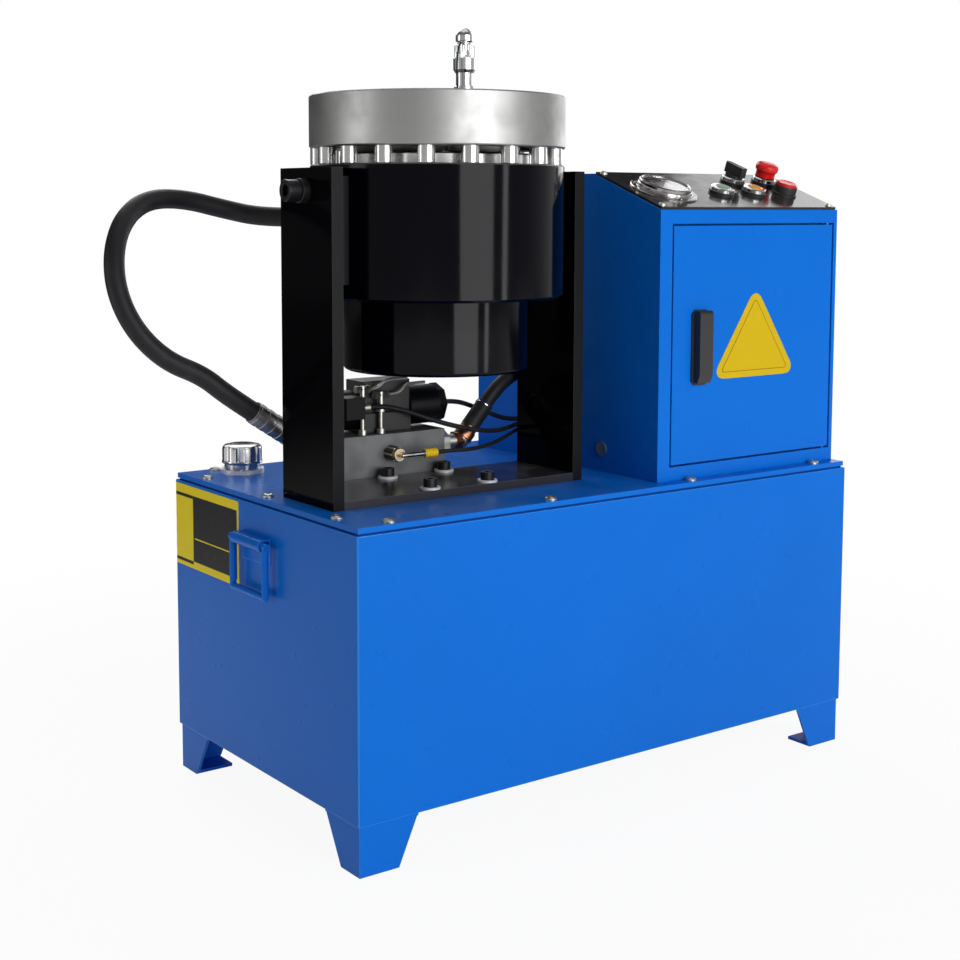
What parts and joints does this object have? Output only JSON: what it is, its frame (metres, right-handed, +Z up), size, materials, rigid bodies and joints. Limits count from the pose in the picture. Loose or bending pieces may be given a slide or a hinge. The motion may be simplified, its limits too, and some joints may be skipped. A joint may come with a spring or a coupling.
{
  "type": "pipe shrinking machine",
  "caption": "Upright hydraulic press that shrinks pipe and hose ends between sliding dies, on its oil tank with a control cabinet.",
  "frame": {"origin": "middle of the tank's footprint, at the floor", "axes": "+X to the operator's right, -Y towards the operator and the cabinet door, +Z up"},
  "size_m": [0.9106, 0.424, 0.895],
  "materials": {
    "blue_paint": "satin blue enamel",
    "black_paint": "gloss black enamel",
    "ground_steel": "turned and ground steel",
    "tool_steel": "hardened tool steel",
    "zinc": "zinc plated",
    "black_oxide": "black oxide",
    "chrome_trim": "polished",
    "cast": "phosphated",
    "alloy": "cast",
    "hose_rubber": "matt",
    "cable_sheath": "satin",
    "gasket_rubber": "matt",
    "coil_plastic": "matt",
    "switch_plastic": "satin",
    "green_plastic": "gloss",
    "orange_plastic": "gloss",
    "red_plastic": "gloss",
    "dial_glass": "clear",
    "pointer_black": "matt"
  },
  "bodies": {
    "stand": {"tank_shell": "blue_paint", "tank_feet": "blue_paint", "lid_gasket": "gasket_rubber", "tank_lid": "blue_paint", "cover_screws": "zinc", "drain_plug": "zinc", "filler_neck": "zinc", "frame_plates": "black_paint", "frame_base": "black_paint", "base_bolts": "black_oxide", "barrel": "black_paint", "lower_housing": "black_paint", "pillar_sleeves": "ground_steel", "ring_bolts": "black_oxide", "top_ring": "ground_steel", "side_screws": "black_oxide", "micrometer_sleeve": "chrome_trim", "micrometer_lead": "cable_sheath", "valve_block": "cast", "valve_body": "cast", "valve_coils": "coil_plastic", "line_fittings": "zinc", "gauge_hose": "cable_sheath", "main_hose": "hose_rubber", "pump_hose": "hose_rubber", "valve_cable_left": "cable_sheath", "valve_cable_right": "cable_sheath", "cabinet_shell": "blue_paint", "control_panel": "switch_plastic", "gauge_case": "chrome_trim", "gauge_glass": "dial_glass", "button_collars": "chrome_trim", "switchgear": "switch_plastic", "motor_body": "alloy", "pump_body": "cast"},
    "ram_body": {"ram": "ground_steel", "cone_bowl": "tool_steel"},
    "filler_cap_body": {"filler_cap": "chrome_trim"},
    "left_bail": {"bail_left": "blue_paint"},
    "right_bail": {"bail_right": "blue_paint"},
    "thimble": {"micrometer_thimble": "chrome_trim"},
    "pointer": {"gauge_pointer": "pointer_black"},
    "selector": {"selector_handle": "switch_plastic"},
    "stop_button": {"stop_mushroom": "red_plastic"},
    "door_body": {"door": "blue_paint", "lock_plate": "switch_plastic"},
    "cam": {"lock_cam": "zinc"},
    "lever": {"lock_lever": "switch_plastic"},
    "rotor": {"motor_fan": "tool_steel"},
    "button_green_body": {"button_green": "green_plastic"},
    "button_orange_body": {"button_orange": "orange_plastic"},
    "button_red_body": {"button_red": "red_plastic"},
    "die_1_body": {"die_1": "tool_steel"},
    "die_2_body": {"die_2": "tool_steel"},
    "die_3_body": {"die_3": "tool_steel"},
    "die_4_body": {"die_4": "tool_steel"},
    "die_5_body": {"die_5": "tool_steel"},
    "die_6_body": {"die_6": "tool_steel"},
    "die_7_body": {"die_7": "tool_steel"},
    "die_8_body": {"die_8": "tool_steel"}
  },
  "joints": [
    {"name": "ram_slide", "type": "slide", "parent": "stand", "child": "ram_body", "axis": [0, 0, 1], "range_m": [0, 0.036]},
    {"name": "die_1_slide", "type": "slide", "parent": "stand", "child": "die_1_body", "axis": [0.1349, 0.9909, 0], "range_m": [0, 0.0098]},
    {"name": "die_2_slide", "type": "slide", "parent": "stand", "child": "die_2_body", "axis": [-0.6053, 0.796, 0], "range_m": [0, 0.0098]},
    {"name": "die_3_slide", "type": "slide", "parent": "stand", "child": "die_3_body", "axis": [-0.9909, 0.1349, 0], "range_m": [0, 0.0098]},
    {"name": "die_4_slide", "type": "slide", "parent": "stand", "child": "die_4_body", "axis": [-0.796, -0.6053, 0], "range_m": [0, 0.0098]},
    {"name": "die_5_slide", "type": "slide", "parent": "stand", "child": "die_5_body", "axis": [-0.1349, -0.9909, 0], "range_m": [0, 0.0098]},
    {"name": "die_6_slide", "type": "slide", "parent": "stand", "child": "die_6_body", "axis": [0.6053, -0.796, 0], "range_m": [0, 0.0098]},
    {"name": "die_7_slide", "type": "slide", "parent": "stand", "child": "die_7_body", "axis": [0.9909, -0.1349, 0], "range_m": [0, 0.0098]},
    {"name": "die_8_slide", "type": "slide", "parent": "stand", "child": "die_8_body", "axis": [0.796, 0.6053, 0], "range_m": [0, 0.0098]},
    {"name": "filler_cap_lift", "type": "slide", "parent": "stand", "child": "filler_cap_body", "axis": [0, 0, 1], "range_m": [0, 0.06]},
    {"name": "left_bail_swing", "type": "hinge", "parent": "stand", "child": "left_bail", "pos_m": [-0.385, 0.004, 0.325], "axis": [0, 1, 0], "range_deg": [0, 100]},
    {"name": "right_bail_swing", "type": "hinge", "parent": "stand", "child": "right_bail", "pos_m": [0.385, 0.004, 0.325], "axis": [0, -1, 0], "range_deg": [0, 100]},
    {"name": "thimble_turn", "type": "hinge", "parent": "stand", "child": "thimble", "pos_m": [-0.20685, -0.16475, 0.86], "axis": [0, 0, 1], "continuous": true},
    {"name": "gauge_pointer_turn", "type": "hinge", "parent": "stand", "child": "pointer", "pos_m": [0.118, -0.13537, 0.72682], "axis": [0, -0.3371, 0.9415], "range_deg": [-270, 0]},
    {"name": "button_green_press", "type": "slide", "parent": "stand", "child": "button_green_body", "axis": [0, 0.3371, -0.9415], "range_m": [0, 0.004], "stiffness_N_per_m": 600, "springref_m": -0.002},
    {"name": "button_orange_press", "type": "slide", "parent": "stand", "child": "button_orange_body", "axis": [0, 0.3371, -0.9415], "range_m": [0, 0.004], "stiffness_N_per_m": 600, "springref_m": -0.002},
    {"name": "button_red_press", "type": "slide", "parent": "stand", "child": "button_red_body", "axis": [0, 0.3371, -0.9415], "range_m": [0, 0.004], "stiffness_N_per_m": 600, "springref_m": -0.002},
    {"name": "selector_turn", "type": "hinge", "parent": "stand", "child": "selector", "pos_m": [0.266, -0.1076, 0.74419], "axis": [0, -0.3371, 0.9415], "range_deg": [-45, 45]},
    {"name": "stop_button_press", "type": "slide", "parent": "stand", "child": "stop_button", "axis": [0, 0.3371, -0.9415], "range_m": [0, 0.005]},
    {"name": "door_hinge", "type": "hinge", "parent": "stand", "child": "door_body", "pos_m": [0.358, -0.1845, 0.537], "axis": [0, 0, 1], "range_deg": [0, 110]},
    {"name": "lock_cam_turn", "type": "hinge", "parent": "door_body", "child": "cam", "pos_m": [0.128, -0.1895, 0.564], "axis": [0, 1, 0], "range_deg": [0, 90]},
    {"name": "lock_lever_lift", "type": "hinge", "parent": "cam", "child": "lever", "pos_m": [0.128, -0.1978, 0.574], "axis": [-1, 0, 0], "range_deg": [0, 35]},
    {"name": "motor_spin", "type": "hinge", "parent": "stand", "child": "rotor", "pos_m": [0.225, 0.06, 0.5], "axis": [0, 0, 1], "continuous": true}
  ],
  "couplings": [
    {"joint": "die_1_slide", "follows": "ram_slide", "ratio": 0.26795},
    {"joint": "die_2_slide", "follows": "ram_slide", "ratio": 0.26795},
    {"joint": "die_3_slide", "follows": "ram_slide", "ratio": 0.26795},
    {"joint": "die_4_slide", "follows": "ram_slide", "ratio": 0.26795},
    {"joint": "die_5_slide", "follows": "ram_slide", "ratio": 0.26795},
    {"joint": "die_6_slide", "follows": "ram_slide", "ratio": 0.26795},
    {"joint": "die_7_slide", "follows": "ram_slide", "ratio": 0.26795},
    {"joint": "die_8_slide", "follows": "ram_slide", "ratio": 0.26795}
  ]
}
